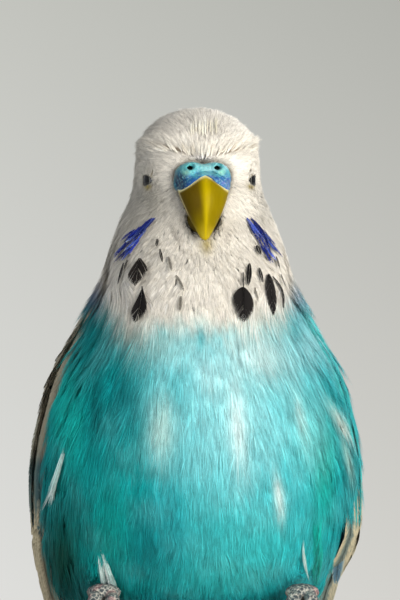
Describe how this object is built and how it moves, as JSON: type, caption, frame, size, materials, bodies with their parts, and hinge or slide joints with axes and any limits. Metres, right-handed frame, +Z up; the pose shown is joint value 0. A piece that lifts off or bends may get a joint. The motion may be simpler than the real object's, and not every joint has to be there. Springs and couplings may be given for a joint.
{
  "type": "budgerigar",
  "caption": "Life-size budgerigar with a white face, turquoise breast and barred grey-brown wings, gripping a round perch on a plain display stand.",
  "frame": {"origin": "centre of the stand base's underside", "axes": "+Z up, -Y the way the bird faces, +X towards the bird's left"},
  "size_m": [0.124, 0.104, 0.1915],
  "materials": {
    "white_plumage": "soft dense feathers, matt",
    "blue_plumage": "soft dense feathers, matt",
    "wing_plumage": "close flat feathers, faint sheen",
    "tail_plumage": "close flat feathers, faint sheen",
    "leg_plumage": "soft short feathers, matt",
    "cere": "waxy skin, satin",
    "bill": "polished horn",
    "eye": "wet gloss",
    "toe_skin": "scaly skin, satin",
    "claw": "horn, satin",
    "perch_wood": "plain beech, oiled",
    "base_wood": "dark stained, satin varnish",
    "rod_metal": "brushed"
  },
  "bodies": {
    "root": {"head": "white_plumage", "neck": "white_plumage", "torso": "blue_plumage", "cere": "cere", "bill_upper": "bill", "bill_lower": "bill", "eye_left": "eye", "eye_right": "eye", "wing_left": "wing_plumage", "wing_right": "wing_plumage", "tail": "tail_plumage", "leg_left": "leg_plumage", "leg_right": "leg_plumage", "foot_left": "toe_skin", "foot_right": "toe_skin", "claw_left_1": "claw", "claw_left_2": "claw", "claw_left_3": "claw", "claw_left_4": "claw", "claw_right_1": "claw", "claw_right_2": "claw", "claw_right_3": "claw", "claw_right_4": "claw", "perch": "perch_wood", "stand_base": "base_wood", "stand_rod_left": "rod_metal", "stand_rod_right": "rod_metal"}
  },
  "joints": []
}
